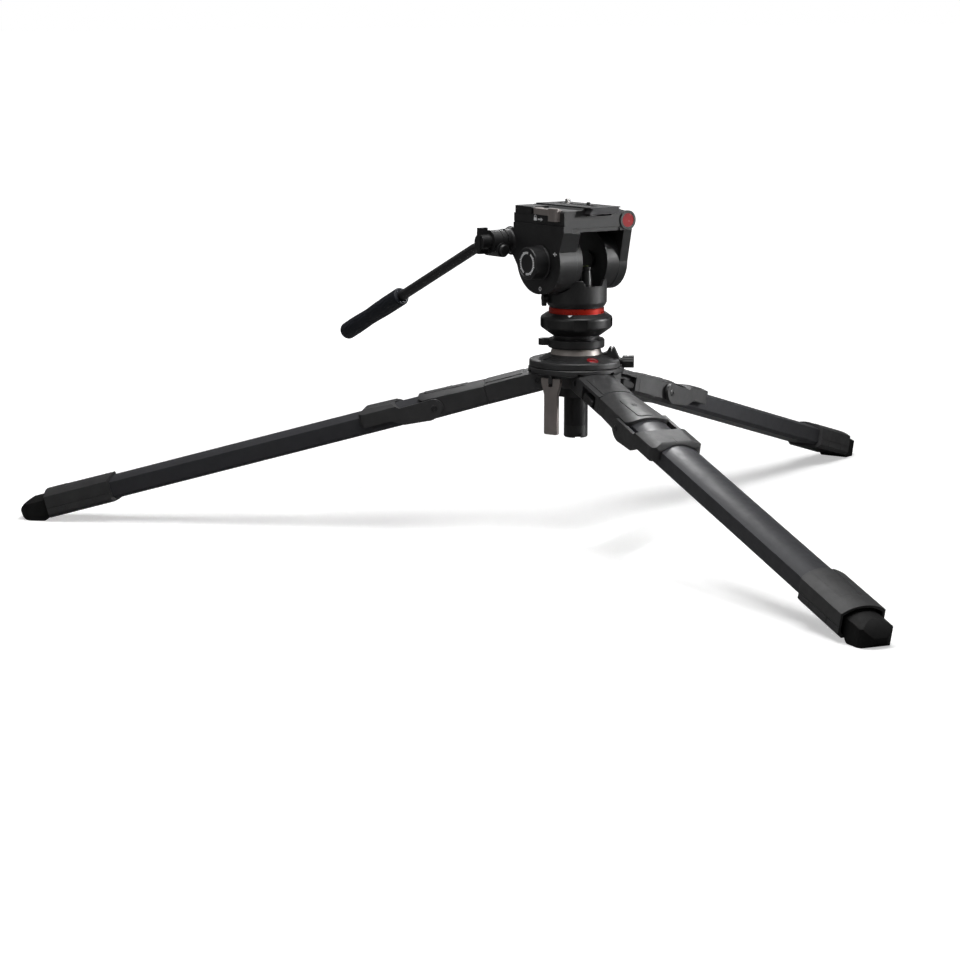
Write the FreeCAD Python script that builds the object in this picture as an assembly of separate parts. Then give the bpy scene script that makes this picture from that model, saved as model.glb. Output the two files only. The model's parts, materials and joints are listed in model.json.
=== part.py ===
"""Table-low video tripod with a fluid head, one STEP file per sub-part, in millimetres.

Frame: +Z up, the head looks along -Y and +X is the operator's left.  Every height below is
measured from the floor; each piece is lowered on export so that the origin ends up on the
pan axis, in the plane of the camera plate's top face.
"""
import FreeCAD, Part
import math
import os

V = FreeCAD.Vector
X_AXIS = V(1, 0, 0)
Y_AXIS = V(0, 1, 0)
Z_AXIS = V(0, 0, 1)
ORIGIN = V(0, 0, 0)

RUN_GAP = 0.05          # radial clearance of every turning or sliding fit
SEAT_H = 354.0          # top face of the camera plate
TILT_H = 294.0          # tilt axis, which crosses the pan axis

# ---- legs: s runs down the leg, t across it and n out of its crowned face ----
LEG_AZIMUTHS = {"front": 258.75, "left": 18.75, "right": 138.75}
LEG_DROP = 15.18        # degrees below level at the widest stop
CROWN_H = 190.07        # height where the crown line would meet the pan axis
PIVOT_S = 44.8
PIVOT_N = -12.6
HINGE_R = 12.9          # round end of the leg's fork
ROOT_END = 103.0
SLEEVE_END = 177.0
LEVER_S = 161.0         # release lever's hinge
LEVER_N = -14.0
LEVER_END = 245.0
TUBE_START = 112.0
TUBE_END = 600.0
SHOE_START = 537.0
SHOE_END = 610.0
FOOT_END = 644.0
TUBE_HALF = 19.3
TUBE_DEEP = 24.6
TUBE_DROP = 5.2         # how far the crown falls towards each corner
TUBE_WALL = 1.3
TUBE_STEP = 1.8         # wall plus the gap to the next section
TUBE_BEVEL = 3.8
ROOT_HALF = 20.9
ROOT_DROP = 4.2
SLEEVE_HALF = 25.0
LEVER_HALF = 28.8
SHOE_HALF = 23.5
FOOT_HALF = 17.5
PIN_R = 3.0

# ---- hub and column ----
HUB_TOP = 180.0         # plane where the cover sits on the spider
HUB_BOTTOM = 148.0
HUB_R = 52.0
LUG_R = 11.0
LUG_HALF = 9.0
COVER_R = 51.0
BALL_H = 188.0
BALL_R = 28.5
BALL_TOP = 200.0
CUP_R = BALL_R + 2.0
COLUMN_R = 13.0
COLUMN_BOTTOM = 102.0
TUBE_FOOT = 115.0       # where the column's tube meets its cap
THROAT_R = 20.5
LOCK_AZIMUTH = -41.25
LOCK_H = 185.0
LOCK_KNOB_R = 50.0      # where the column lock's knob starts
BADGE_AZIMUTH = -102.0
BADGE_R = 6.6
RELEASE_AZIMUTH = 198.75
RELEASE_R = 47.0
RELEASE_H = 168.5
RING_R = 30.7
RING_TOP = 210.0

# ---- quick release between column and head ----
COLLAR_R = 39.0
COLLAR_BOTTOM = 214.2
COLLAR_TOP = 238.0
ADAPTER_R = 30.0
ADAPTER_TOP = 244.0

# ---- head ----
PAN_R = 32.8
PAN_TOP = 274.5
PAN_LOCK_H = 254.5
PAN_LOCK_AZIMUTH = 163.0
SPINDLE_R = 10.0
CHEEK_OUT = 48.0
CHEEK_IN = 25.0
CHEEK_R = 34.0
SHELL_IN = 39.6
UPRIGHT_R = 32.3
GAP_HALF = 16.6
ARM_IN = 33.0
ARM_OUT = 44.0
AXLE_R = 6.0
FRONT_Y = -39.5
REAR_Y = 50.0
DECK_BOTTOM = 327.5
DECK_STEP = 335.0
DECK_TOP = 350.5
PLATE_FRONT = -50.0
PLATE_REAR = 47.0
PLATE_BOTTOM = 346.5
CHANNEL_FLOOR = 344.3
COVER_BOTTOM = 344.6    # rear cover over the plate lock
PANEL_X = -47.2         # side face above the deck's step
VIAL_H = 286.0          # seat of the bubble level
SCREW_Y = 16.5
SCREW_R = 3.175
ROSETTE_Y = 60.0
ROSETTE_H = 313.2
ROSETTE_X = 56.0
ROSETTE_R = 13.2
BAR_X = -64.0
BAR_H = 304.8
BAR_R = 5.75
BAR_DROP = 24.2         # degrees below level behind the bend
BAR_FRONT = 45.5
BAR_BEND_Y = 94.4
BAR_BEND_R = 40.0
GRIP_NEAR = 170.0       # from the bend's corner, along the sloping part
GRIP_FAR = 300.0
GRIP_R = 10.6


# ---------------------------------------------------------------- drawing helpers
def outline(place, start, steps):
    """Closed face: each step is an end point, or a (through, end) pair for an arc."""
    edges = []
    here = place(*start)
    for step in list(steps) + [start]:
        if isinstance(step[0], tuple):
            through, end = place(*step[0]), place(*step[1])
            edges.append(Part.Arc(here, through, end).toShape())
        else:
            end = place(*step)
            if here.distanceToPoint(end) < 1e-6:
                continue
            edges.append(Part.makeLine(here, end))
        here = end
    return Part.Face(Part.Wire(edges))


def along_x(x0, x1, start, *steps):
    """Prism along X from an outline in (y, z)."""
    return outline(lambda y, z: V(x0, y, z), start, steps).extrude(V(x1 - x0, 0, 0))


def along_y(y0, y1, start, *steps):
    """Prism along Y from an outline in (x, z)."""
    return outline(lambda x, z: V(x, y0, z), start, steps).extrude(V(0, y1 - y0, 0))


def along_z(z0, z1, start, *steps):
    """Prism along Z from an outline in (x, y)."""
    return outline(lambda x, y: V(x, y, z0), start, steps).extrude(V(0, 0, z1 - z0))


def turned(start, *steps):
    """Full turn about Z of an outline in (radius, z)."""
    return outline(lambda r, z: V(r, 0, z), start, steps).revolve(ORIGIN, Z_AXIS, 360)


def box(x0, x1, y0, y1, z0, z1):
    return Part.makeBox(x1 - x0, y1 - y0, z1 - z0, V(x0, y0, z0))


def rod_x(x0, x1, y, z, r):
    return Part.makeCylinder(r, x1 - x0, V(x0, y, z), X_AXIS)


def rod_y(y0, y1, x, z, r):
    return Part.makeCylinder(r, y1 - y0, V(x, y0, z), Y_AXIS)


def rod_z(z0, z1, x, y, r):
    return Part.makeCylinder(r, z1 - z0, V(x, y, z0), Z_AXIS)


def spun(shape, degrees):
    """Copy turned about the pan axis."""
    copy = shape.copy()
    copy.rotate(ORIGIN, Z_AXIS, degrees)
    return copy


def lifted(shape, dx=0.0, dy=0.0, dz=0.0):
    copy = shape.copy()
    copy.translate(V(dx, dy, dz))
    return copy


def rounded(shape, radius, wanted):
    """Fillet the edges whose midpoint and direction satisfy the test."""
    picked = []
    for edge in shape.Edges:
        middle = edge.valueAt((edge.FirstParameter + edge.LastParameter) / 2)
        heading = edge.tangentAt(edge.FirstParameter)
        if wanted(middle, heading):
            picked.append(edge)
    return shape.makeFillet(radius, picked)


# ---------------------------------------------------------------- leg pieces, leg axes
def crowned(s0, s1, half, top, bottom, drop, bevel=TUBE_BEVEL):
    """Bar with a crowned upper face, upright sides and bevelled lower corners."""
    return along_x(
        s0, s1, (-half, top - drop), ((0, top), (half, top - drop)),
        (half, bottom + bevel), (half - bevel, bottom),
        (-half + bevel, bottom), (-half, bottom + bevel))


def tube(s0, s1, inset):
    """Thin-walled leg section, nested by the given inset."""
    half, top, bottom = TUBE_HALF - inset, -inset, inset - TUBE_DEEP
    outer = crowned(s0, s1, half, top, bottom, TUBE_DROP)
    bore = crowned(s0 - 1, s1 + 1, half - TUBE_WALL, top - TUBE_WALL, bottom + TUBE_WALL,
                   TUBE_DROP)
    return outer.cut(bore)


def leg_root():
    """Fork that hinges on the hub, with a pocket for the angle stop button."""
    fork_half = LUG_HALF + 0.6
    bar = crowned(PIVOT_S - HINGE_R - 1, ROOT_END, ROOT_HALF, 0, -25.5, ROOT_DROP, 3.5)
    side = along_y(
        -ROOT_HALF - 1, ROOT_HALF + 1, (PIVOT_S, PIVOT_N + HINGE_R),
        (ROOT_END + 1, PIVOT_N + HINGE_R), (ROOT_END + 1, PIVOT_N - HINGE_R),
        (PIVOT_S, PIVOT_N - HINGE_R),
        ((PIVOT_S - HINGE_R, PIVOT_N), (PIVOT_S, PIVOT_N + HINGE_R)))
    root = bar.common(side)
    pad = lifted(bar, dz=0.7).common(box(60, ROOT_END - 2, -16, 16, -3, 2))
    root = root.fuse(pad)
    root = root.cut(box(0, PIVOT_S + 2.7, -fork_half, fork_half, -40, 20))
    root = root.cut(box(0, 60, -fork_half, fork_half, -40, PIVOT_N))
    root = root.cut(rod_y(-fork_half, fork_half, PIVOT_S, PIVOT_N, LUG_R + 0.4))
    root = root.cut(rod_y(-30, 30, PIVOT_S, PIVOT_N, PIN_R + RUN_GAP))
    root = root.cut(box(63, 95, -ROOT_HALF - 1, -14.5, -23.5, -7.5))
    return root.removeSplitter()


def angle_button():
    """Push button that frees the leg from its angle stop."""
    face = -ROOT_HALF - 0.9
    paddle = along_y(
        face, -15.2, (71, -22.2), (88, -20.6), ((90.4, -17.4), (88, -14.2)), (71, -12.6),
        ((68.4, -17.4), (71, -22.2)))
    return rounded(paddle, 0.8, lambda middle, heading: middle.y < face + 0.01)


def sleeve_blank(raise_by=0.0):
    """Solid from the root's section out to the wider lower end of the sleeve."""
    def section(s, half, top, bottom):
        return outline(
            lambda t, n: V(s, t, n + raise_by), (-half, top - 5.4),
            [((0, top), (half, top - 5.4)), (half, bottom + 3.8), (half - 3.8, bottom),
             (-half + 3.8, bottom), (-half, bottom + 3.8)]).OuterWire
    near = section(ROOT_END + 0.4, ROOT_HALF, 0.4, -25.5)
    far = section(SLEEVE_END, SLEEVE_HALF, 2.8, -26.0)
    return Part.makeLoft([near, far], True, True)


def leg_sleeve():
    """Upper casting that clamps the outer tube and carries the release lever."""
    corner = 8.0
    half = SLEEVE_HALF + 1
    blank = sleeve_blank()
    trim = along_z(
        -40, 10, (ROOT_END, -half), (SLEEVE_END - corner, -half),
        ((SLEEVE_END - 2.3, -half + 3.4), (SLEEVE_END, -half + corner)),
        (SLEEVE_END, half - corner),
        ((SLEEVE_END - 2.3, half - 3.4), (SLEEVE_END - corner, half)), (ROOT_END, half))
    sleeve = blank.common(trim)
    badge = along_z(
        -5, 10, (128, -9), (166, -9), ((170, -7.5), (171, -3)), (171, 3),
        ((170, 7.5), (166, 9)), (128, 9), ((124, 7.5), (123, 3)), (123, -3),
        ((124, -7.5), (128, -9)))
    sleeve = sleeve.fuse(badge.common(sleeve_blank(0.6)))
    sleeve = sleeve.cut(crowned(TUBE_START, 200, TUBE_HALF, 0, -TUBE_DEEP, TUBE_DROP))
    for side in (-1, 1):
        for s in (116, 129):
            sleeve = sleeve.cut(Part.makeBox(
                9, 1.6, 1.2, V(s, side * 22.6 - 0.8, -23.0)))
        sleeve = sleeve.cut(rod_y(side * 24 - 4, side * 24 + 4, LEVER_S, LEVER_N, 2.6))
    return sleeve.removeSplitter()


def leg_lever():
    """U-shaped release lever: two arms beside the sleeve and a bridge over the tube."""
    inner = SLEEVE_HALF + 0.35
    side = along_y(
        -LEVER_HALF, LEVER_HALF, (LEVER_S, LEVER_N + 10.0), (198, -4.6), (206, 1.6),
        (236, 2.6), ((242.8, 0.2), (LEVER_END, -6)), ((244.5, -13.5), (237, -16)),
        (210, -16), (197, -23.4), (172, -25.5),
        ((160, -24.0), (LEVER_S - 10, LEVER_N)),
        ((LEVER_S - 7.07, LEVER_N + 7.07), (LEVER_S, LEVER_N + 10.0)))
    shell = crowned(LEVER_S - 20, LEVER_END + 1, LEVER_HALF, 5.0, -40, 6.6, 1)
    corner = LEVER_HALF - 9
    plan = along_z(
        -40, 10, (LEVER_S - 20, -LEVER_HALF), (LEVER_END - 9, -LEVER_HALF),
        ((LEVER_END - 2.6, -corner - 6.4), (LEVER_END, -corner)), (LEVER_END, corner),
        ((LEVER_END - 2.6, corner + 6.4), (LEVER_END - 9, LEVER_HALF)),
        (LEVER_S - 20, LEVER_HALF))
    lever = side.common(shell).common(plan)
    under = crowned(LEVER_S - 20, LEVER_END - 2.2, inner, 0.7, -41, 5.4, 1)
    lever = lever.cut(under)
    mouth = crowned(LEVER_END - 3, LEVER_END + 2, TUBE_HALF + 0.8, 0.7, -41, 5.2, 1)
    lever = lever.cut(mouth)
    edge = inner - 2
    window = along_z(
        -10, 10, (LEVER_S - 20, -edge), (196, -edge), ((200.2, -edge + 1.8), (202, -edge + 6)),
        (202, edge - 6), ((200.2, edge - 1.8), (196, edge)), (LEVER_S - 20, edge))
    beside = box(LEVER_S - 20, SLEEVE_END + 1, -inner, inner, -10, 10)
    lever = lever.cut(window).cut(beside)
    for side_sign in (-1, 1):
        centre = side_sign * (inner - 0.9)
        lever = lever.fuse(rod_y(centre - 1.6, centre + 1.6, LEVER_S, LEVER_N,
                                 2.6 - RUN_GAP))
    seam = box(200, LEVER_END, -0.4, 0.4, 2.2, 6)
    return lever.cut(seam).removeSplitter()


def shoe_blank():
    return crowned(SHOE_START - 7, SHOE_END, SHOE_HALF, 3.6, -27.2, 6.2, 4.2)


def leg_shoe():
    """Hood on the lower end of the outer tube, with an inset panel and side seams."""
    blank = shoe_blank()
    half = SHOE_HALF + 1
    trim = along_z(
        -40, 20, (SHOE_START, -half), (SHOE_END + 1, -half), (SHOE_END + 1, half),
        (SHOE_START, half), ((SHOE_START - 5.5, 0), (SHOE_START, -half)))
    shoe = blank.common(trim)
    panel = along_z(-2, 20, (520, -12.8), (588, -10.8), (588, 10.8), (520, 12.8))
    shoe = shoe.cut(panel.cut(lifted(blank, dz=-0.6)))
    shoe = shoe.cut(crowned(500, TUBE_END, TUBE_HALF, 0, -TUBE_DEEP, TUBE_DROP))
    shoe = shoe.cut(crowned(TUBE_END, 700, SHOE_HALF - 2.6, 1.2, -24.9, 6.0))
    for side in (-1, 1):
        y = side * SHOE_HALF
        shoe = shoe.cut(box(SHOE_START - 2, SHOE_END + 1, y - 0.5, y + 0.5, -16.6, -15.8))
        for s in (556, 588):
            shoe = shoe.cut(box(s, s + 0.8, y - 0.5, y + 0.5, -25, -16.2))
    return shoe.removeSplitter()


def floor_n(s):
    """The n of the floor under a point s down the leg, at the widest stop."""
    drop = math.radians(LEG_DROP)
    return (s * math.sin(drop) - CROWN_H) / math.cos(drop)


def rubber_foot():
    """Bullet-nosed foot: a plug in the inner tube and a tread that meets the floor."""
    neck = TUBE_END + 4.0
    side = along_y(
        -FOOT_HALF - 1, FOOT_HALF + 1, (neck, 0), (615, -0.3),
        ((634, -4.2), (FOOT_END, -12)), ((643.5, -18), (637, floor_n(637))),
        (621, floor_n(621)), ((615, -28.4), (611.5, -24.2)), (neck, -24.2))
    section = crowned(neck - 1, FOOT_END + 1, FOOT_HALF, -1.2, -40, 5.4, 1)
    tread = side.common(section)
    nose = along_z(
        -40, 10, (neck, -FOOT_HALF - 1), (624, -FOOT_HALF - 1),
        ((637.5, -15.2), (FOOT_END + 0.4, -6)), (FOOT_END + 0.4, 6),
        ((637.5, 15.2), (624, FOOT_HALF + 1)), (neck, FOOT_HALF + 1))
    tread = tread.common(nose)
    tread = tread.cut(box(609.5, 611.5, -6, 6, -3.2, 2))
    inset = 2 * TUBE_STEP + TUBE_WALL
    plug = crowned(580, neck + 1, TUBE_HALF - inset, -inset, inset - TUBE_DEEP, TUBE_DROP)
    return tread.fuse(plug).removeSplitter()


LEG_PIECES = {
    "root": leg_root,
    "angle_button": angle_button,
    "sleeve": leg_sleeve,
    "release_lever": leg_lever,
    "tube_outer": lambda: tube(TUBE_START, TUBE_END, 0.0),
    "tube_middle": lambda: tube(TUBE_START + 12, TUBE_END + 2, TUBE_STEP),
    "tube_inner": lambda: tube(TUBE_START + 24, TUBE_END + 4, 2 * TUBE_STEP),
    "shoe": leg_shoe,
    "foot": rubber_foot,
}


def on_leg(shape, azimuth):
    """Carry a piece from the leg's own axes to its place on the hub."""
    placed = shape.copy()
    placed.rotate(ORIGIN, Y_AXIS, LEG_DROP)
    placed.rotate(ORIGIN, Z_AXIS, azimuth)
    placed.translate(V(0, 0, CROWN_H))
    return placed


def pivot_place():
    """Radius and height of the leg hinges."""
    drop = math.radians(LEG_DROP)
    radius = PIVOT_S * math.cos(drop) + PIVOT_N * math.sin(drop)
    height = CROWN_H - PIVOT_S * math.sin(drop) + PIVOT_N * math.cos(drop)
    return radius, height


# ---------------------------------------------------------------- hub and column
def hub_spider():
    """Casting that carries the legs, with a spherical seat and three hinge lugs."""
    pivot_r, pivot_h = pivot_place()
    body = turned(
        (THROAT_R, HUB_BOTTOM), (24, HUB_BOTTOM), (24, 157), (26.6, 163), (30, 170),
        (48, 172.4), (51.4, 174.2), (HUB_R, 175.5), (HUB_R, HUB_TOP - 0.8),
        (HUB_R - 0.8, HUB_TOP), (THROAT_R, HUB_TOP))
    body = body.cut(Part.makeSphere(CUP_R + RUN_GAP, V(0, 0, BALL_H)))
    round_end = rod_y(-21.5, 21.5, pivot_r, pivot_h, HINGE_R + 0.4)
    below = box(pivot_r - HINGE_R - 0.1, 62, -21.5, 21.5, 130, pivot_h)
    saddle = on_leg(crowned(PIVOT_S, 80, ROOT_HALF + 0.5, 0.45, -60, ROOT_DROP, 1), 0)
    pocket = round_end.fuse(below).fuse(saddle)
    lug = along_y(
        -LUG_HALF, LUG_HALF, (21.5, 156), (21.5, 172), (26, HUB_TOP), (pivot_r, HUB_TOP),
        (pivot_r, pivot_h + LUG_R),
        ((pivot_r + LUG_R, pivot_h), (pivot_r, pivot_h - LUG_R)))
    lug = lug.cut(Part.makeSphere(CUP_R + RUN_GAP, V(0, 0, BALL_H)))
    lug = lug.cut(rod_y(-20, 20, pivot_r, pivot_h, PIN_R))
    for azimuth in LEG_AZIMUTHS.values():
        body = body.cut(spun(pocket, azimuth))
        body = body.fuse(spun(lug, azimuth))
    bracket = box(RELEASE_R - 3, RELEASE_R + 3, -2.3, 2.3, RELEASE_H - 3, 174)
    trunnions = rod_y(-6.5, 6.5, RELEASE_R, RELEASE_H, 1.6)
    body = body.fuse(spun(bracket.fuse(trunnions), RELEASE_AZIMUTH))
    knob_bay = spun(rod_x(46.7, 60, 0, LOCK_H, 8.0), LOCK_AZIMUTH)
    return body.cut(rod_z(140, 190, 0, 0, THROAT_R)).cut(knob_bay).removeSplitter()


def hub_cover():
    """Shallow cone over the spider, with facets and a boss for the column lock."""
    mouth = BALL_R + 0.3
    cover = turned(
        (mouth, HUB_TOP), (COVER_R - 1, HUB_TOP), (COVER_R, HUB_TOP + 1),
        (COVER_R, 185.6), ((50.4, 187.2), (48.6, 187.9)), (mouth, 193.4))
    pad = along_z(
        180, 200, (33.5, -12), ((36.5, 0), (33.5, 12)), (40.5, 16), ((44.5, 0), (40.5, -16)))
    low = lifted(cover, dz=-1.1)
    for azimuth in LEG_AZIMUTHS.values():
        cover = cover.cut(spun(pad, azimuth - 60).cut(low))
    boss = along_y(
        -7.5, 7.5, (29, HUB_TOP), (29, 193.5), (33, 195.2), (36.2, 201), (41.4, 200),
        (46.6, 188.5), (46.6, HUB_TOP))
    boss = boss.cut(box(38.0, 39.2, -8, 8, 197, 205))
    flat = box(46.6, 60, -16, 16, HUB_TOP, 200)
    screw_hole = rod_x(25, 60, 0, LOCK_H, 2.5 + RUN_GAP)
    cover = cover.cut(spun(flat, LOCK_AZIMUTH)).fuse(spun(boss, LOCK_AZIMUTH))
    cover = cover.cut(spun(screw_hole, LOCK_AZIMUTH))
    badge = spun(rod_z(185, 200, 41, 0, BADGE_R), BADGE_AZIMUTH)
    return cover.cut(badge.cut(lifted(low, dz=0.5))).removeSplitter()


def leg_pins():
    """One hinge pin per leg, held by the spider's lugs."""
    pivot_r, pivot_h = pivot_place()
    pin = rod_y(-20, 20, pivot_r, pivot_h, PIN_R)
    return Part.makeCompound([spun(pin, azimuth) for azimuth in LEG_AZIMUTHS.values()])


def column_lock_knob():
    """Lobed thumb screw that clamps the ball and column."""
    end = LOCK_KNOB_R + 12.5
    knob = rod_x(LOCK_KNOB_R, end, 0, LOCK_H, 6.4)
    lobes = [rod_x(LOCK_KNOB_R + 1, end, 5.4 * math.cos(math.radians(a)),
                   LOCK_H + 5.4 * math.sin(math.radians(a)), 1.9)
             for a in range(0, 360, 60)]
    neck = rod_x(46.9, LOCK_KNOB_R, 0, LOCK_H, 4.0)
    shaft = rod_x(29.4, LOCK_KNOB_R, 0, LOCK_H, 2.5)
    return spun(knob.multiFuse(lobes + [neck, shaft]).removeSplitter(), LOCK_AZIMUTH)


def column_release():
    """Flip lever under the hub that frees the column module."""
    top = RELEASE_H + 2.2
    plate = along_x(
        RELEASE_R - 2.2, RELEASE_R + 2.2, (-12, top), (-12, 165.5), (-8.3, 153),
        (-8.3, 112), ((-7.7, 110.6), (-6.3, 110)), (6.3, 110), ((7.7, 110.6), (8.3, 112)),
        (8.3, 153), (12, 165.5), (12, top))
    plate = plate.cut(box(RELEASE_R - 4, RELEASE_R + 4, -2.7, 2.7, 161.5, 176))
    plate = plate.cut(rod_y(-13, 13, RELEASE_R, RELEASE_H, 1.6 + RUN_GAP))
    return spun(plate.removeSplitter(), RELEASE_AZIMUTH)


def ball_zone(radius, low, high):
    ball = Part.makeSphere(radius, V(0, 0, BALL_H))
    return ball.common(box(-60, 60, -60, 60, low, high))


def levelling_cup():
    """Nylon liner between the ball and the spider's spherical seat."""
    zone = ball_zone(CUP_R, 167.0, 176.0)
    return zone.cut(Part.makeSphere(BALL_R + RUN_GAP, V(0, 0, BALL_H)))


def levelling_ball():
    """Bored ball whose upper zone shows between cover and lock ring."""
    return ball_zone(BALL_R, 168.0, BALL_TOP).cut(
        rod_z(150, 210, 0, 0, COLUMN_R + RUN_GAP))


def levelling_ring():
    """Ring with a thumb tab that locks the levelling ball."""
    ring = turned(
        (COLUMN_R + RUN_GAP, BALL_TOP + 0.1), (29.7, BALL_TOP + 0.1), (RING_R, 201.2),
        (RING_R, 208.6), (29.4, RING_TOP - 0.1), (COLUMN_R + RUN_GAP, RING_TOP - 0.1))
    tab = along_z(
        202.4, 209.4, (20, -7), (34, -7), ((41, 0), (34, 7)), (20, 7))
    bore = rod_z(190, 220, 0, 0, COLUMN_R + RUN_GAP)
    return ring.fuse(spun(tab, 142.5)).cut(bore).removeSplitter()


def centre_column():
    """Short column tube with the flange that the quick release bolts to."""
    tube_part = rod_z(TUBE_FOOT, 211, 0, 0, COLUMN_R)
    flange = rod_z(RING_TOP, 212, 0, 0, 24.0)
    bore = rod_z(100, 205, 0, 0, COLUMN_R - 1.6)
    return tube_part.fuse(flange).cut(bore).removeSplitter()


def column_cap():
    """Notched plug at the column's lower end."""
    cap = turned(
        (0, COLUMN_BOTTOM), (COLUMN_R - 1.2, COLUMN_BOTTOM), (COLUMN_R, 103.2),
        (COLUMN_R, TUBE_FOOT), (COLUMN_R - 1.6, TUBE_FOOT), (COLUMN_R - 1.6, 122),
        (0, 122))
    notch = spun(box(5, 16, -3.4, 3.4, 90, 106), -115)
    return cap.cut(notch)


# ---------------------------------------------------------------- quick release
def release_base():
    """Catcher body screwed to the column's flange."""
    return turned(
        (0, 212), (25, 212), (25, 214.6), (33, 220), (33, 232), (0, 232))


def release_collar():
    """Locking collar with five finger recesses."""
    collar = turned(
        (25.6, COLLAR_BOTTOM), (27, COLLAR_BOTTOM - 0.2), (COLLAR_R - 1, 222),
        (COLLAR_R, 223.5), (COLLAR_R, 231.6), ((38.2, 233.8), (36.4, 235.2)),
        (32.4, COLLAR_TOP), (ADAPTER_R + 0.6, COLLAR_TOP), (ADAPTER_R + 0.6, 232.1),
        (33 + RUN_GAP, 232.1), (33 + RUN_GAP, 219.9), (25.6, 214.9))
    recess = box(COLLAR_R - 2.2, COLLAR_R + 2, -7.5, 7.5, 217, 232.5)
    for azimuth in range(-120, 240, 72):
        collar = collar.cut(spun(recess, azimuth))
    return collar.removeSplitter()


def release_adapter():
    """Ring plate under the head that the collar grips."""
    return turned(
        (0, 232), (ADAPTER_R - 0.6, 232), (ADAPTER_R, 232.8), (ADAPTER_R, 243.2),
        (ADAPTER_R - 0.8, ADAPTER_TOP), (0, ADAPTER_TOP))


# ---------------------------------------------------------------- head, below the tilt axis
def head_base():
    """Flat base disc with the pan spindle."""
    return turned(
        (0, ADAPTER_TOP), (29.2, ADAPTER_TOP), (29.2, 245.3), (SPINDLE_R, 245.3),
        (SPINDLE_R, 261), (SPINDLE_R - 1, 262), (0, 262))


def pan_body():
    """Pan housing with two round-headed uprights that carry the tilt axles."""
    drum = turned(
        (SPINDLE_R + RUN_GAP, 245.4), (30.6, 245.4), (PAN_R, 249.5), (PAN_R, PAN_TOP - 0.8),
        (PAN_R - 0.8, PAN_TOP), (30, PAN_TOP), (29, 266), (0, 266), (0, 262.1),
        (SPINDLE_R + RUN_GAP, 262.1))
    drum = drum.cut(along_y(
        -40, 40, (-15, 276), (-11.5, 270), ((-10.6, 268.4), (-9, 268)), (9, 268),
        ((10.6, 268.4), (11.5, 270)), (15, 276)))
    drum = drum.cut(rod_x(-60, -CHEEK_IN + 0.1, 0, TILT_H, CHEEK_R + 0.9))
    for x0, x1 in ((-CHEEK_IN + 0.2, -GAP_HALF), (GAP_HALF, ARM_IN - 0.3)):
        disc = rod_x(x0, x1, 0, TILT_H, UPRIGHT_R)
        post = box(x0, x1, -20, 20, 262, TILT_H).common(rod_z(250, 300, 0, 0, PAN_R))
        drum = drum.fuse(disc.fuse(post))
    drum = drum.cut(rod_x(-60, 60, 0, TILT_H, AXLE_R))
    socket = rod_x(PAN_R - 8, PAN_R + 4, 0, PAN_LOCK_H, 2.2 + RUN_GAP)
    return drum.cut(spun(socket, PAN_LOCK_AZIMUTH)).removeSplitter()


def pan_lock():
    """Small lever on the pan housing's side that locks the pan."""
    high = PAN_LOCK_H
    stem = rod_x(PAN_R - 6, PAN_R + 2, 0, high, 2.2)
    hub = rod_x(PAN_R + 1.0, PAN_R + 6.4, 0, high, 4.4)
    lever = along_x(
        PAN_R + 2.4, PAN_R + 6.4, (-3.6, high), (-2.8, high - 7.5),
        ((0, high - 8.8), (2.8, high - 7.5)), (3.6, high))
    return spun(stem.fuse(hub).fuse(lever).removeSplitter(), PAN_LOCK_AZIMUTH)


def bubble_housing():
    """Turret on the pan housing that holds the bubble level."""
    post = turned(
        (0, 266), (6.2, 266), (4.9, 284), (5.5, 285), (5.5, 288.4), (5.0, VIAL_H + 3), (0, VIAL_H + 3))
    post = post.cut(rod_z(VIAL_H, 300, 0, 0, 3.9))
    return lifted(post, dy=-17)


def bubble_vial():
    """Round spirit level in the turret."""
    return lifted(turned(
        (0, VIAL_H), (3.9, VIAL_H), (3.9, VIAL_H + 2.7), (3.2, VIAL_H + 3.3), (0, VIAL_H + 3.3)),
        dy=-17)


def tilt_axles():
    """Two headed stub axles fixed in the uprights."""
    right = rod_x(-37, -GAP_HALF, 0, TILT_H, AXLE_R)
    right = right.fuse(rod_x(-GAP_HALF, -GAP_HALF + 2.2, 0, TILT_H, 9.0))
    left = rod_x(GAP_HALF, ARM_OUT - 3, 0, TILT_H, AXLE_R)
    left = left.fuse(rod_x(GAP_HALF - 2.2, GAP_HALF, 0, TILT_H, 9.0))
    return Part.makeCompound([right.removeSplitter(), left.removeSplitter()])


# ---------------------------------------------------------------- head, above the tilt axis
def cheek():
    """Right side of the cage: a full drum inside and a deeper outer shell behind it."""
    drum = along_x(
        -SHELL_IN, -CHEEK_IN, (FRONT_Y, DECK_STEP), (FRONT_Y, DECK_BOTTOM), (-31.7, 306.4),
        ((-CHEEK_R, TILT_H), (0, TILT_H - CHEEK_R)), ((CHEEK_R, TILT_H), (31.7, 306.4)),
        (REAR_Y, 316), (REAR_Y, DECK_STEP))
    shell = along_x(
        -CHEEK_OUT, -SHELL_IN, (FRONT_Y, DECK_STEP), (FRONT_Y, DECK_BOTTOM), (-31.7, 306.4),
        ((-CHEEK_R, TILT_H), (0, TILT_H - CHEEK_R)), ((28, 266.5), (43, 288)),
        (52, 299.5), ((60, 299.8), (70, 304)), ((73.2, 313), (68, 323.6)),
        ((61.5, 326.4), (54, 326)), (REAR_Y, 329), (REAR_Y, DECK_STEP))
    return drum.fuse(shell)


def arm():
    """Left side of the cage, a tapering arm with a round lower end."""
    return along_x(
        ARM_IN, ARM_OUT, (FRONT_Y, DECK_STEP), (FRONT_Y, DECK_BOTTOM), (-32.4, 293.5),
        ((0, TILT_H - 32.5), (31.2, 299)), (48, 299.6), ((60, 299.8), (70, 304)),
        ((73.2, 313), (68, 323.6)), ((61.5, 326.4), (54, 326)), (REAR_Y, 329),
        (REAR_Y, DECK_STEP))


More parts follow.
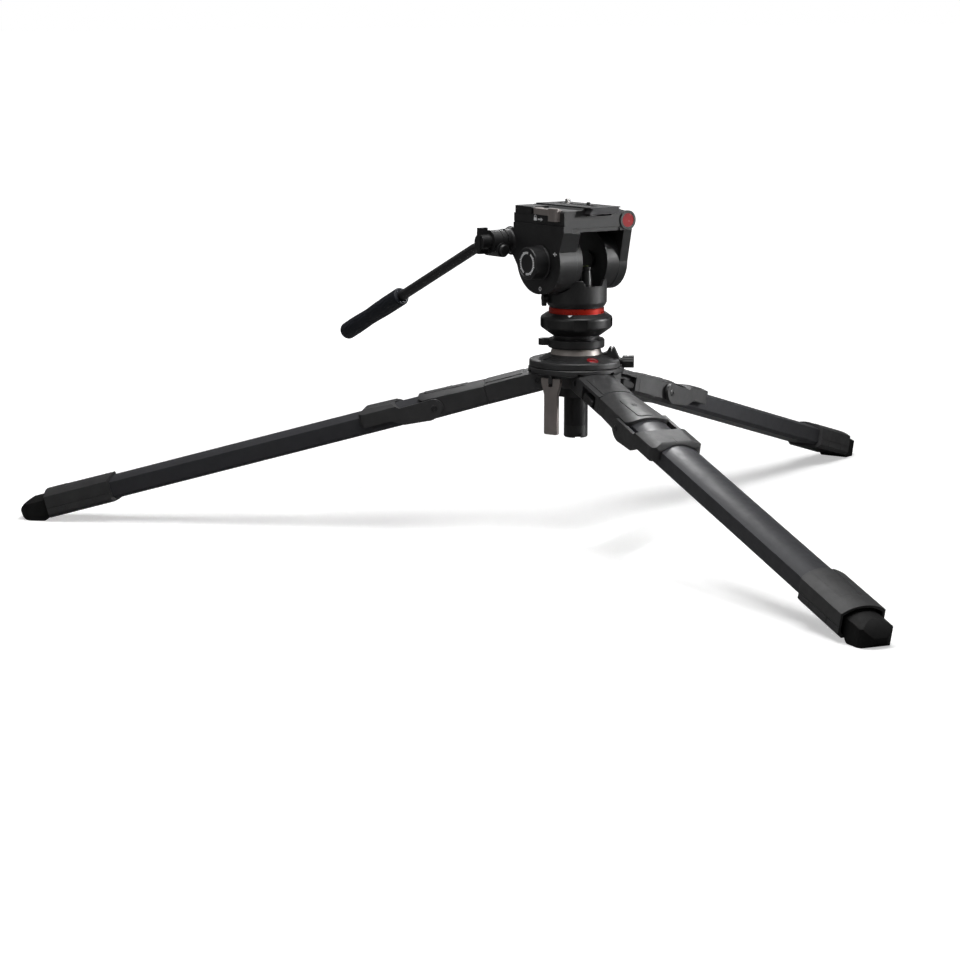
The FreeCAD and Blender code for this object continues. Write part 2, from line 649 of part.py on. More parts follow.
def rosette(side):
    """Toothed face that the pan bar clamp grips, on either side of the cage."""
    face = ROSETTE_X
    boss = Part.makeCone(ROSETTE_R + 2.5, ROSETTE_R, 6, V(ARM_OUT, ROSETTE_Y, ROSETTE_H),
                         X_AXIS)
    boss = boss.fuse(rod_x(50, face, ROSETTE_Y, ROSETTE_H, ROSETTE_R))
    tooth = box(face - 0.7, face + 1, -0.7, 0.7, 6.5, 16)
    for step in range(24):
        cutter = tooth.copy()
        cutter.rotate(ORIGIN, X_AXIS, 15.0 * step)
        boss = boss.cut(lifted(cutter, dy=ROSETTE_Y, dz=ROSETTE_H))
    if side < 0:
        boss = boss.mirror(ORIGIN, X_AXIS)
    return boss


def plate_section(y0, y1, slack):
    """Dovetail of the sliding plate, grown by the slack."""
    return along_y(
        y0, y1, (-20.5 - slack, PLATE_BOTTOM - slack), (-20.5 - slack, 347.4),
        (-17.6 - slack, 352.4), (-17.6 - slack, 353.2), (17.6 + slack, 353.2),
        (17.6 + slack, 352.4), (20.5 + slack, 347.4), (20.5 + slack, PLATE_BOTTOM - slack))


def tilt_cage():
    """Camera deck with the right cheek, the left arm and both rosettes."""
    deck = along_z(
        DECK_BOTTOM, DECK_STEP, (-CHEEK_OUT, FRONT_Y), (ARM_OUT, FRONT_Y),
        (ARM_OUT, REAR_Y), (-CHEEK_OUT, REAR_Y))
    upper = along_y(
        FRONT_Y, REAR_Y, (PANEL_X, DECK_STEP), (PANEL_X, DECK_TOP - 1.5),
        (PANEL_X + 1.5, DECK_TOP), (-24, DECK_TOP), (-21, 352.6), (22, 352.6),
        (31, 349.0), (38, 346), (ARM_OUT, 341), (ARM_OUT, DECK_STEP))
    cage = cheek().fuse(arm()).fuse(deck).fuse(upper)
    boss = rod_y(FRONT_Y - 1.2, -20, 37.8, 338.0, 10.4)
    cage = cage.fuse(boss).fuse(rosette(-1)).fuse(rosette(1))
    cage = cage.cut(rod_y(FRONT_Y - 2, FRONT_Y - 0.4, 37.8, 338.0, 7.6))
    cage = cage.cut(plate_section(FRONT_Y - 2, REAR_Y + 2, 0.15))
    cage = cage.cut(box(-17.6, 17.6, FRONT_Y - 1, REAR_Y + 1, 352.0, 360))
    cage = cage.cut(box(-16, 16, FRONT_Y - 1, REAR_Y + 1, CHANNEL_FLOOR, 350))
    cage = cage.cut(box(-36, 27.3, FRONT_Y - 1, FRONT_Y + 1.2, DECK_BOTTOM - 1, 331.8))
    cage = cage.cut(box(-60, PANEL_X + 0.6, FRONT_Y - 1, REAR_Y + 1, 334.4, 335.2))
    cage = cage.cut(box(-60, -23.8, 18.0, REAR_Y + 1, COVER_BOTTOM - 0.1, 360))
    cage = cage.cut(box(-60, -43.2, -32.5, 18.0, COVER_BOTTOM, 360))
    cage = cage.cut(rod_z(344.6, 360, -42.6, 11.0, 6.2))
    cage = cage.cut(box(-60, -45.6, -32.5, -16.0, 338.6, 360))
    cage = cage.cut(rod_z(336, 346, -42.6, 11.0, 2.0 + RUN_GAP))
    cage = cage.cut(rod_x(-37.3, -CHEEK_IN + 1, 0, TILT_H, AXLE_R + RUN_GAP))
    cage = cage.cut(rod_x(-60, -38.5, 0, TILT_H, 4.0 + RUN_GAP))
    cage = cage.cut(rod_x(ARM_IN - 1, ARM_OUT - 2.7, 0, TILT_H, AXLE_R + RUN_GAP))
    cage = cage.cut(rod_x(ARM_OUT - 6, ARM_OUT + 1, 0, TILT_H - 20, 2.5 + RUN_GAP))
    cage = cage.cut(rod_x(-60, -42, ROSETTE_Y, ROSETTE_H, 2.0 + RUN_GAP))
    return cage.removeSplitter()


def deck_cover():
    """Rear cover over the plate lock, rounded at the back corner."""
    side = PANEL_X - 0.4
    cover = along_z(
        COVER_BOTTOM, 352.4, (side, 18.2), (-24, 18.2), (-24, REAR_Y), (side + 4.6, REAR_Y),
        ((side + 1.2, 48.7), (side, 45)))
    return cover.cut(rod_z(344, 360, -42.6, 11.0, 8.4))


def plate_lever():
    """Lever beside the plate; its paddle swings out to free the plate."""
    arm_part = along_z(
        345.0, 351.6, (-43.4, 5.2), (-44.4, -16), (-44.4, -31), (-50.4, -31),
        (-50.8, -14), ((-50.2, 2), (-48.2, 11)), ((-46.5, 15.2), (-42.6, 16.6)))
    hub = rod_z(345.0, 351.6, -42.6, 11.0, 5.8)
    stem = rod_z(338, 345.5, -42.6, 11.0, 2.0)
    tab = along_z(
        339.4, 353.0, (-46.0, -17), (-46.0, -31.4), (-50, -31.8),
        ((-52.2, -30.6), (-52.6, -28)), (-52.6, -20), ((-52.2, -17.6), (-50, -16.6)))
    return arm_part.fuse(hub).fuse(stem).fuse(tab).removeSplitter()


def boss_cap():
    """Plain disc let into the front boss."""
    return rod_y(FRONT_Y - 1.0, FRONT_Y - 0.4, 37.8, 338.0, 7.5)


def drag_knob():
    """Knob on the tilt axis that switches the drag on and off."""
    knob = turned(
        (0, 48.3), (18.6, 48.3), (18.6, 50.2), (17.8, 51), (17.2, 65.6),
        ((16.7, 66.9), (15.8, 67.2)), (14.6, 67.2), (14.2, 66.6), (0, 66.6))
    knob = knob.fuse(rod_z(39, 49, 0, 0, 4.0))
    knob.rotate(ORIGIN, Y_AXIS, -90)
    return lifted(knob, dz=TILT_H).removeSplitter()


def tilt_lock():
    """Lever on the left arm that locks the tilt."""
    low = TILT_H - 20
    stem = rod_x(ARM_OUT - 5.5, ARM_OUT + 3, 0, low, 2.5)
    hub = rod_x(ARM_OUT + 0.3, ARM_OUT + 9, 0, low, 7.0)
    blade = along_x(
        ARM_OUT + 4, ARM_OUT + 9, (0, low + 6), (24, low + 3.4), ((28, low), (24, low - 3.4)),
        (0, low - 6))
    return stem.fuse(hub).fuse(blade).removeSplitter()


def camera_plate():
    """Long sliding plate with side lips and a slot for the camera screw."""
    plate = plate_section(PLATE_FRONT, PLATE_REAR, 0.0)
    lip = box(-20, 20, PLATE_FRONT, PLATE_REAR, 352.8, SEAT_H)
    plate = plate.fuse(lip)
    slot = along_z(
        340, 360, (-3.5, -32), ((0, -35.5), (3.5, -32)), (3.5, 32), ((0, 35.5), (-3.5, 32)))
    well = along_z(
        340, 350.4, (-8, -33), ((0, -41), (8, -33)), (8, 33), ((0, 41), (-8, 33)))
    return plate.cut(slot).cut(well).removeSplitter()


def camera_screw():
    """Quarter-inch screw that runs in the plate's slot."""
    return lifted(turned(
        (0, 346), (6.6, 346), (7.0, 346.4), (7.0, 350.2), (3.0, 350.2), (3.0, SEAT_H),
        (SCREW_R, SEAT_H), (SCREW_R, 358.6), (SCREW_R - 0.6, 359.2), (0, 359.2)),
        dy=SCREW_Y)


def video_pin():
    """Sprung locating pin ahead of the screw."""
    return lifted(turned(
        (0, 348.2), (5.0, 348.2), (5.0, 350.2), (2.1, 350.2), (2.1, 357.0), (1.5, 357.6),
        (0, 357.6)), dy=-20.0)


def bar_clamp():
    """Clamp that joins the pan bar to the rosette."""
    near = -ROSETTE_X - 0.1
    far = -74.0
    body = rod_x(far, near, ROSETTE_Y, ROSETTE_H, 12.6)
    body = body.cut(rod_x(-62.6, -61.8, ROSETTE_Y, ROSETTE_H, 14).cut(
        rod_x(-62.6, -61.8, ROSETTE_Y, ROSETTE_H, 11.4)))
    socket_r = 7.8
    socket = rod_y(46.5, 75, BAR_X, BAR_H, socket_r)
    web = box(BAR_X - socket_r, BAR_X + socket_r, 50, 72, BAR_H, ROSETTE_H)
    body = body.fuse(socket).fuse(web)
    body = body.cut(rod_y(40, 80, BAR_X, BAR_H, BAR_R))
    return body.cut(rod_x(-80, -50, ROSETTE_Y, ROSETTE_H, 2.0 + RUN_GAP)).removeSplitter()


def wing_knob():
    """Winged knob with the clamp bolt moulded in."""
    hub = rod_x(-86.5, -74.2, ROSETTE_Y, ROSETTE_H, 8.6)
    wing = along_x(
        -87.6, -76.5, (ROSETTE_Y - 2.6, ROSETTE_H - 12.5), (ROSETTE_Y + 2.6, ROSETTE_H - 12.5),
        (ROSETTE_Y + 3.2, ROSETTE_H), (ROSETTE_Y + 2.2, ROSETTE_H + 15.6),
        (ROSETTE_Y - 2.2, ROSETTE_H + 15.6), (ROSETTE_Y - 3.2, ROSETTE_H))
    bolt = rod_x(-75, -43, ROSETTE_Y, ROSETTE_H, 2.0)
    return hub.fuse(wing).fuse(bolt).removeSplitter()


def bar_spine(start_y, far):
    """Centre line of the pan bar: level through the clamp, then sloping down."""
    slope = math.radians(BAR_DROP)
    reach = BAR_BEND_R * math.tan(slope / 2)
    begin = V(BAR_X, start_y, BAR_H)
    corner = V(BAR_X, BAR_BEND_Y, BAR_H)
    down = V(0, math.cos(slope), -math.sin(slope))
    bend_in = corner - Y_AXIS * reach
    bend_out = corner + down * reach
    half = slope / 2
    middle = bend_in + V(0, BAR_BEND_R * math.sin(half),
                         -BAR_BEND_R * (1 - math.cos(half)))
    return begin, bend_in, middle, bend_out, corner + down * far, down


def pan_bar():
    """Bent steel bar."""
    begin, bend_in, middle, bend_out, end, _ = bar_spine(BAR_FRONT, GRIP_FAR - 8)
    spine = Part.Wire([
        Part.makeLine(begin, bend_in), Part.Arc(bend_in, middle, bend_out).toShape(),
        Part.makeLine(bend_out, end)])
    ring = Part.Wire([Part.makeCircle(BAR_R, begin, Y_AXIS)])
    return spine.makePipeShell([ring], True, False)


def bar_plug():
    """Round cap on the bar's front end."""
    cap = turned((0, 0), (6.4, 0), ((5.6, 2.2), (3.6, 3.0)), (0, 3.0))
    cap.rotate(ORIGIN, X_AXIS, 90)
    return lifted(cap, dx=BAR_X, dy=BAR_FRONT, dz=BAR_H)


def bar_grip():
    """Rubber sleeve with a rounded end and shallow finger waists."""
    length = GRIP_FAR - GRIP_NEAR
    grip = turned(
        (BAR_R, 0), (8.6, 0), (9.8, 1.4), (GRIP_R, 20), (GRIP_R - 0.3, 50),
        (GRIP_R - 0.9, 74), (GRIP_R - 0.2, 100), (9.8, length - 4.5),
        ((8.48, length - 1.32), (5.3, length)), (0, length), (0, length - 8),
        (BAR_R, length - 8))
    grip.rotate(ORIGIN, X_AXIS, -90 - BAR_DROP)
    slope = math.radians(BAR_DROP)
    return lifted(grip, BAR_X, BAR_BEND_Y + GRIP_NEAR * math.cos(slope),
                  BAR_H - GRIP_NEAR * math.sin(slope))


PIECES = {
    "hub_spider": hub_spider,
    "hub_cover": hub_cover,
    "leg_pins": leg_pins,
    "column_lock_knob": column_lock_knob,
    "column_release_lever": column_release,
    "levelling_cup": levelling_cup,
    "levelling_ball": levelling_ball,
    "levelling_ring": levelling_ring,
    "centre_column": centre_column,
    "column_cap": column_cap,
    "release_base": release_base,
    "release_collar": release_collar,
    "release_adapter": release_adapter,
    "head_base": head_base,
    "pan_body": pan_body,
    "pan_lock": pan_lock,
    "bubble_housing": bubble_housing,
    "bubble_vial": bubble_vial,
    "tilt_axles": tilt_axles,
    "tilt_cage": tilt_cage,
    "deck_cover": deck_cover,
    "plate_lever": plate_lever,
    "boss_cap": boss_cap,
    "drag_knob": drag_knob,
    "tilt_lock": tilt_lock,
    "camera_plate": camera_plate,
    "camera_screw": camera_screw,
    "video_pin": video_pin,
    "bar_clamp": bar_clamp,
    "wing_knob": wing_knob,
    "pan_bar": pan_bar,
    "bar_plug": bar_plug,
    "bar_grip": bar_grip,
}


def export(name, shape):
    """Lower the piece so that the plate's top face is at zero, then write it."""
    lifted(shape, dz=-SEAT_H).exportStep("parts/" + name + ".step")


os.makedirs("parts", exist_ok=True)
for name, make in PIECES.items():
    export(name, make())
for piece, make in LEG_PIECES.items():
    shape = make()
    for leg, azimuth in LEG_AZIMUTHS.items():
        export("leg_" + leg + "_" + piece, on_leg(shape, azimuth))
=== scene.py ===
"""Looks of a table-low video tripod with a fluid head: materials, fine detail, light and camera.

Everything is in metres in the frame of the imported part: +Z up, the head looks along -Y, +X is the
operator's left, and the origin is on the pan axis in the plane of the camera plate's top face.
"""
import json
import math

import bmesh
import bpy
from mathutils import Matrix, Vector


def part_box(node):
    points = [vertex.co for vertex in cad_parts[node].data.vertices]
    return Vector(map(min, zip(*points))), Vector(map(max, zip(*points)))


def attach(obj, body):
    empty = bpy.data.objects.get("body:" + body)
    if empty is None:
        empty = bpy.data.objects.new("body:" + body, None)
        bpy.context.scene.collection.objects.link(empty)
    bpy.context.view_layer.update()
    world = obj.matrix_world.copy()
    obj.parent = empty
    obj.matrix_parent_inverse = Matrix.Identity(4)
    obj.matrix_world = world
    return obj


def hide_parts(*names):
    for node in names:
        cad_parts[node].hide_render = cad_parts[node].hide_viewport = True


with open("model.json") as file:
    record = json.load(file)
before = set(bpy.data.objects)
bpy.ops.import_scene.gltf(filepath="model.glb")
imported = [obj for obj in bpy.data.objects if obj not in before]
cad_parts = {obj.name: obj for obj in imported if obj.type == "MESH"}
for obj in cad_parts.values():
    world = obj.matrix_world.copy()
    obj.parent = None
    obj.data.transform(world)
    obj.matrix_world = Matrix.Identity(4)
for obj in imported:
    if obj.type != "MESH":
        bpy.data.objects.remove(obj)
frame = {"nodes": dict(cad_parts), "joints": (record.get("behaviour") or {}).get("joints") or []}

MM = 0.001
UP = Vector((0, 0, 1))
LEGS = ("front", "left", "right")
FLOOR_Z = -0.354        # the floor under the three rubber feet
TOE_REACH = 0.599       # from a leg's hinge to the end of its foot
SKIN = 0.05 * MM        # how far a printed mark stands off the surface under it
BAR_DROP = math.radians(24.2)
BADGE_AZIMUTH = math.radians(-102)
CHEEK_X = -48 * MM      # outer face of the right cheek
PANEL_X = -47.2 * MM    # side face above it, beside the plate lever


# ---------------------------------------------------------------- places taken from the frame
def joint(name):
    """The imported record's joint of that name."""
    return next(j for j in frame["joints"] if j["name"] == name)


def box_centre(node):
    """Middle of a CAD node's box."""
    low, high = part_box(node)
    return (low + high) / 2


def leg_axes(leg):
    """Matrix from a leg's own axes (s down the leg, t across, n out of its crown) to the frame.

    Its origin is the leg's hinge.
    """
    down = Vector(joint(f"leg_{leg}_extend")["axis"]).normalized()
    across = Vector(joint(f"leg_{leg}_fold")["axis"]).normalized()
    out = down.cross(across)
    hinge = Vector(joint(f"leg_{leg}_fold")["pos_m"])
    turn = Matrix((down, across, out)).transposed().to_4x4()
    return Matrix.Translation(hinge) @ turn


def looking_along(place, direction, upwards=UP):
    """Matrix whose Z is the direction, whose Y leans towards upwards, and whose origin is place."""
    z = Vector(direction).normalized()
    x = Vector(upwards).cross(z).normalized()
    y = z.cross(x)
    return Matrix.Translation(place) @ Matrix((x, y, z)).transposed().to_4x4()


# ---------------------------------------------------------------- shader helpers
def add(tree, kind, **values):
    """New node; each value sets the input of that name or, failing that, the node's own setting."""
    node = tree.nodes.new("ShaderNode" + kind)
    for key, value in values.items():
        if key.title() in node.inputs:
            node.inputs[key.title()].default_value = value
        else:
            setattr(node, key, value)
    return node


def mixed(tree, share, first, second):
    """Colour between two colours or sockets, by a socket from 0 to 1."""
    node = add(tree, "Mix", data_type="RGBA")
    tree.links.new(share, node.inputs["Factor"])
    for socket, value in ((node.inputs[6], first), (node.inputs[7], second)):
        if isinstance(value, tuple):
            socket.default_value = (*value, 1.0)
        else:
            tree.links.new(value, socket)
    return node.outputs[2]


def ranged(tree, value, low, high, to_low, to_high):
    """The value carried from one range to another, held at its ends."""
    node = add(tree, "MapRange")
    tree.links.new(value, node.inputs["Value"])
    for name, number in (("From Min", low), ("From Max", high), ("To Min", to_low),
                         ("To Max", to_high)):
        node.inputs[name].default_value = number
    return node.outputs["Result"]


def times(tree, first, second):
    """Product of two sockets."""
    node = add(tree, "Math", operation="MULTIPLY")
    tree.links.new(first, node.inputs[0])
    tree.links.new(second, node.inputs[1])
    return node.outputs[0]


def noise(tree, coords, size, detail=3.0, rough=0.55):
    """Noise whose patches are about the given size in metres."""
    node = add(tree, "TexNoise", scale=1.0 / size, detail=detail, roughness=rough)
    tree.links.new(coords, node.inputs["Vector"])
    return node.outputs["Fac"]


def bumped(tree, height, depth, normal):
    """Normal of a relief: the height socket from 0 to 1 stands for the depth in metres."""
    node = add(tree, "Bump", distance=depth)
    node.inputs["Strength"].default_value = 1.0
    tree.links.new(height, node.inputs["Height"])
    tree.links.new(normal, node.inputs["Normal"])
    return node.outputs["Normal"]


def edge_mask(tree, soft_normal):
    """0 on flats and 1 where the softened normal leaves the true one, on edges and corners."""
    geometry = add(tree, "NewGeometry")
    dot = add(tree, "VectorMath", operation="DOT_PRODUCT")
    tree.links.new(soft_normal, dot.inputs[0])
    tree.links.new(geometry.outputs["Normal"], dot.inputs[1])
    return ranged(tree, dot.outputs["Value"], 0.995, 0.86, 0.0, 1.0)


def surface(name, colour, rough, grain, depth, metal=0.0, edge=0.35 * MM, worn=None, wear=0.5,
            mottle=0.18, specular=0.5, coat=0.0):
    """Base recipe: mottled colour, grained bump, softened edges and lighter wear along them.

    Returns the material, its tree and the socket of object coordinates, for a look to build on.
    """
    material = bpy.data.materials.new(name)
    material.use_nodes = True
    tree = material.node_tree
    shader = tree.nodes["Principled BSDF"]
    coords = add(tree, "TexCoord").outputs["Object"]
    soft = add(tree, "Bevel", samples=4, radius=edge).outputs["Normal"]
    patches = noise(tree, coords, 22 * MM, 4.0)
    darker = tuple(c * (1 - mottle) for c in colour)
    lighter = tuple(c * (1 + mottle) for c in colour)
    paint = mixed(tree, ranged(tree, patches, 0.35, 0.65, 0.0, 1.0), darker, lighter)
    scuffs = ranged(tree, noise(tree, coords, 2.4 * MM, 5.0, 0.7), 0.42, 0.66, 0.0, wear)
    rubbed = times(tree, edge_mask(tree, soft), scuffs)
    bare = worn or tuple(min(1.0, c * 2.2 + 0.02) for c in colour)
    tree.links.new(mixed(tree, rubbed, paint, bare), shader.inputs["Base Color"])
    smears = noise(tree, coords, 9 * MM, 3.0)
    tree.links.new(ranged(tree, smears, 0.3, 0.7, rough - 0.06, rough + 0.07),
                   shader.inputs["Roughness"])
    height = noise(tree, coords, grain, 2.0, 0.5)
    tree.links.new(bumped(tree, height, depth, soft), shader.inputs["Normal"])
    shader.inputs["Metallic"].default_value = metal
    shader.inputs["Specular IOR Level"].default_value = specular
    shader.inputs["Coat Weight"].default_value = coat
    shader.inputs["Coat Roughness"].default_value = 0.25
    return material, tree, coords


def stretched(tree, coords, turn, sizes):
    """Noise drawn out along a direction: the turn carries the frame to the grain's own axes."""
    place = add(tree, "Mapping", vector_type="TEXTURE")
    place.inputs["Rotation"].default_value = turn.to_euler()
    tree.links.new(coords, place.inputs["Vector"])
    scale = add(tree, "VectorMath", operation="DIVIDE")
    tree.links.new(place.outputs["Vector"], scale.inputs[0])
    scale.inputs[1].default_value = sizes
    node = add(tree, "TexNoise", scale=1.0, detail=2.0)
    tree.links.new(scale.outputs["Vector"], node.inputs["Vector"])
    return node.outputs["Fac"]


def grooved(tree, height, depth):
    """Second layer of relief on top of the one already feeding the shader."""
    shader = tree.nodes["Principled BSDF"]
    under = shader.inputs["Normal"].links[0].from_socket
    tree.links.new(bumped(tree, height, depth, under), shader.inputs["Normal"])


def turned_lines(tree, coords, centre, axis_turn, pitch, depth):
    """Fine lathe rings round an axis through the centre."""
    place = add(tree, "Mapping", vector_type="TEXTURE")
    place.inputs["Location"].default_value = centre
    place.inputs["Rotation"].default_value = axis_turn.to_euler()
    tree.links.new(coords, place.inputs["Vector"])
    flat = add(tree, "VectorMath", operation="MULTIPLY")
    flat.inputs[1].default_value = (1, 1, 0)
    tree.links.new(place.outputs["Vector"], flat.inputs[0])
    radius = add(tree, "VectorMath", operation="LENGTH")
    tree.links.new(flat.outputs["Vector"], radius.inputs[0])
    split = add(tree, "SeparateXYZ")
    tree.links.new(place.outputs["Vector"], split.inputs[0])
    total = add(tree, "Math", operation="ADD")
    tree.links.new(radius.outputs["Value"], total.inputs[0])
    tree.links.new(split.outputs["Z"], total.inputs[1])
    rings = add(tree, "TexNoise", noise_dimensions="1D", scale=1.0 / pitch, detail=2.0)
    tree.links.new(total.outputs[0], rings.inputs["W"])
    grooved(tree, rings.outputs["Fac"], depth)


# ---------------------------------------------------------------- materials
def head_paint():
    """Matt black powder coat on the die castings of the head."""
    return surface("head_paint", (0.0105, 0.0105, 0.011), 0.46, 0.55 * MM, 0.035 * MM,
                   edge=0.5 * MM, worn=(0.06, 0.06, 0.062), wear=0.35)[0]


def hub_paint():
    """Dark grey satin paint of the hub castings."""
    return surface("hub_paint", (0.021, 0.021, 0.0218), 0.42, 0.5 * MM, 0.03 * MM,
                   edge=0.6 * MM, worn=(0.09, 0.09, 0.092), wear=0.4)[0]


def moulded_nylon():
    """Glass-filled nylon of the leg fittings, with a spark-eroded skin."""
    material, tree, coords = surface(
        "moulded_nylon", (0.026, 0.026, 0.0268), 0.5, 0.32 * MM, 0.03 * MM, edge=0.7 * MM,
        worn=(0.085, 0.085, 0.088), wear=0.45)
    cells = add(tree, "TexVoronoi", scale=1.0 / (0.45 * MM))
    tree.links.new(coords, cells.inputs["Vector"])
    grooved(tree, cells.outputs["Distance"], 0.012 * MM)
    return material


def dark_plastic():
    """Near-black acetal of knobs, buttons and small levers."""
    return surface("dark_plastic", (0.0085, 0.0085, 0.009), 0.38, 0.4 * MM, 0.015 * MM,
                   edge=0.45 * MM, worn=(0.05, 0.05, 0.052), wear=0.4, coat=0.08)[0]


def anodised_tube(leg):
    """Satin anodised extrusion, with drawing lines along the leg and bright handling marks."""
    material, tree, coords = surface(
        f"anodised_tube_{leg}", (0.034, 0.0345, 0.0385), 0.45, 0.25 * MM, 0.006 * MM,
        metal=0.1, edge=0.35 * MM, worn=(0.14, 0.14, 0.15), wear=0.3, mottle=0.08,
        specular=0.3)
    along = leg_axes(leg).to_3x3()
    lines = stretched(tree, coords, along, (0.16, 0.5 * MM, 0.5 * MM))
    grooved(tree, lines, 0.02 * MM)
    return material


def anodised_column():
    """Black anodised centre column and pan bar."""
    material, tree, coords = surface(
        "anodised_column", (0.011, 0.011, 0.012), 0.34, 0.3 * MM, 0.006 * MM, metal=0.3,
        edge=0.35 * MM, worn=(0.12, 0.12, 0.125), wear=0.35, mottle=0.1)
    turned_lines(tree, coords, (0, 0, 0), Matrix.Identity(3), 0.35 * MM, 0.01 * MM)
    return material


def bar_coat():
    """Satin black coat of the pan bar, rubbed along its length."""
    material, tree, coords = surface(
        "bar_coat", (0.0115, 0.0115, 0.0125), 0.33, 0.35 * MM, 0.01 * MM, metal=0.2,
        worn=(0.14, 0.14, 0.145), wear=0.3, mottle=0.12)
    along = Matrix.Rotation(-BAR_DROP, 3, "X") @ Matrix.Rotation(math.pi / 2, 3, "Z")
    lines = stretched(tree, coords, along, (0.06, 0.6 * MM, 0.6 * MM))
    grooved(tree, lines, 0.008 * MM)
    return material


def bronze_anodised():
    """Bead-blasted bronze-grey anodised aluminium."""
    return surface("bronze_anodised", (0.2, 0.178, 0.168), 0.44, 0.22 * MM, 0.022 * MM,
                   metal=0.25, edge=0.4 * MM, worn=(0.36, 0.34, 0.33), wear=0.5, mottle=0.08)[0]


def ball_anodised():
    """Same bronze finish, turned instead of blasted."""
    material, tree, coords = surface(
        "ball_anodised", (0.33, 0.3, 0.28), 0.45, 0.25 * MM, 0.006 * MM, metal=0.25,
        edge=0.3 * MM, worn=(0.36, 0.34, 0.33), wear=0.3, mottle=0.06)
    turned_lines(tree, coords, (0, 0, 0), Matrix.Identity(3), 0.3 * MM, 0.02 * MM)
    return material


def red_anodised():
    """Bright red anodised ring with lathe lines."""
    material, tree, coords = surface(
        "red_anodised", (0.42, 0.012, 0.002), 0.3, 0.3 * MM, 0.004 * MM, metal=0.45,
        edge=0.35 * MM, worn=(0.7, 0.22, 0.16), wear=0.4, mottle=0.08)
    turned_lines(tree, coords, (0, 0, 0), Matrix.Identity(3), 0.28 * MM, 0.018 * MM)
    return material


def turned_black():
    """Black turned rings: quick-release bodies and the levelling lock ring."""
    material, tree, coords = surface(
        "turned_black", (0.017, 0.017, 0.0175), 0.36, 0.35 * MM, 0.012 * MM, metal=0.25,
        edge=0.6 * MM, worn=(0.13, 0.13, 0.135), wear=0.45, mottle=0.1)
    turned_lines(tree, coords, (0, 0, 0), Matrix.Identity(3), 0.4 * MM, 0.012 * MM)
    return material


def plate_anodised():
    """Grey anodised sliding plate, brushed along its length."""
    material, tree, coords = surface(
        "plate_anodised", (0.045, 0.045, 0.047), 0.33, 0.3 * MM, 0.008 * MM, metal=0.6,
        edge=0.3 * MM, worn=(0.3, 0.3, 0.31), wear=0.5, mottle=0.08)
    along = Matrix.Rotation(math.pi / 2, 3, "Z")
    lines = stretched(tree, coords, along, (0.05, 0.35 * MM, 0.35 * MM))
    grooved(tree, lines, 0.015 * MM)
    return material


def machined_steel():
    """Bright turned steel of the camera screw and pins."""
    material, tree, coords = surface(
        "machined_steel", (0.55, 0.54, 0.53), 0.24, 0.2 * MM, 0.004 * MM, metal=1.0,
        edge=0.15 * MM, worn=(0.8, 0.8, 0.8), wear=0.4, mottle=0.1)
    turned_lines(tree, coords, box_centre("camera_screw"), Matrix.Identity(3), 0.2 * MM,
                 0.01 * MM)
    return material


def foot_rubber():
    """Black rubber with a dusty bloom and a fine moulded grain."""
    material, tree, coords = surface(
        "foot_rubber", (0.005, 0.0049, 0.0049), 0.66, 0.6 * MM, 0.05 * MM, edge=0.8 * MM,
        worn=(0.02, 0.0195, 0.019), wear=0.4, mottle=0.25, specular=0.22)
    pores = add(tree, "TexVoronoi", scale=1.0 / (0.7 * MM))
    tree.links.new(coords, pores.inputs["Vector"])
    grooved(tree, pores.outputs["Distance"], 0.02 * MM)
    return material


def grip_rubber():
    """Soft navy-black rubber of the pan bar's grip."""
    return surface("grip_rubber", (0.0065, 0.0085, 0.0135), 0.52, 0.5 * MM, 0.04 * MM,
                   edge=0.4 * MM, worn=(0.02, 0.024, 0.03), wear=0.4, mottle=0.2,
                   specular=0.3)[0]


def pad_rubber():
    """Dark rubber strips let into the camera plate."""
    return surface("pad_rubber", (0.014, 0.014, 0.0145), 0.6, 0.4 * MM, 0.03 * MM,
                   edge=0.2 * MM, wear=0.3, specular=0.3)[0]


def white_nylon():
    """Natural nylon of the levelling cup."""
    return surface("white_nylon", (0.5, 0.49, 0.45), 0.45, 0.4 * MM, 0.01 * MM, wear=0.2)[0]


def white_print():
    """Pad-printed white marks, slightly uneven."""
    return surface("white_print", (0.85, 0.85, 0.86), 0.5, 0.25 * MM, 0.01 * MM,
                   edge=0.05 * MM, wear=0.1, mottle=0.1)[0]


def red_enamel():
    """Glossy dark red disc."""
    return surface("red_enamel", (0.3, 0.008, 0.012), 0.25, 0.5 * MM, 0.006 * MM,
                   edge=0.2 * MM, wear=0.2, coat=0.6)[0]


def level_liquid():
    """Yellow-green liquid of the spirit level under clear plastic."""
    material, tree, _ = surface(
        "level_liquid", (0.32, 0.46, 0.03), 0.12, 3 * MM, 0.02 * MM, wear=0.0, coat=1.0)
    tree.nodes["Principled BSDF"].inputs["Coat Roughness"].default_value = 0.03
    return material


def bubble_gas():
    """Pale bubble in the spirit level."""
    return surface("bubble_gas", (0.75, 0.82, 0.5), 0.08, 2 * MM, 0.004 * MM, wear=0.0,
                   coat=1.0)[0]


# ---------------------------------------------------------------- mesh helpers
def piece(name, mesh, material, body, place=None, stands_for=None):
    """Object for a mesh drawn in its own axes; place carries it into the frame."""
    if place is not None:
        mesh.transform(place)
    mesh.materials.append(material)
    thing = bpy.data.objects.new(name, mesh)
    bpy.context.scene.collection.objects.link(thing)
    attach(thing, body)
    if stands_for:
        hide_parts(stands_for)
    return thing


def mesh_of(name, work, smooth_angle=35.0):
    """Mesh from a bmesh, shaded smooth except across sharp edges."""
    bmesh.ops.recalc_face_normals(work, faces=work.faces[:])
    mesh = bpy.data.meshes.new(name)
    work.to_mesh(mesh)
    work.free()
    for polygon in mesh.polygons:
        polygon.use_smooth = True
    mesh.set_sharp_from_angle(angle=math.radians(smooth_angle))
    return mesh


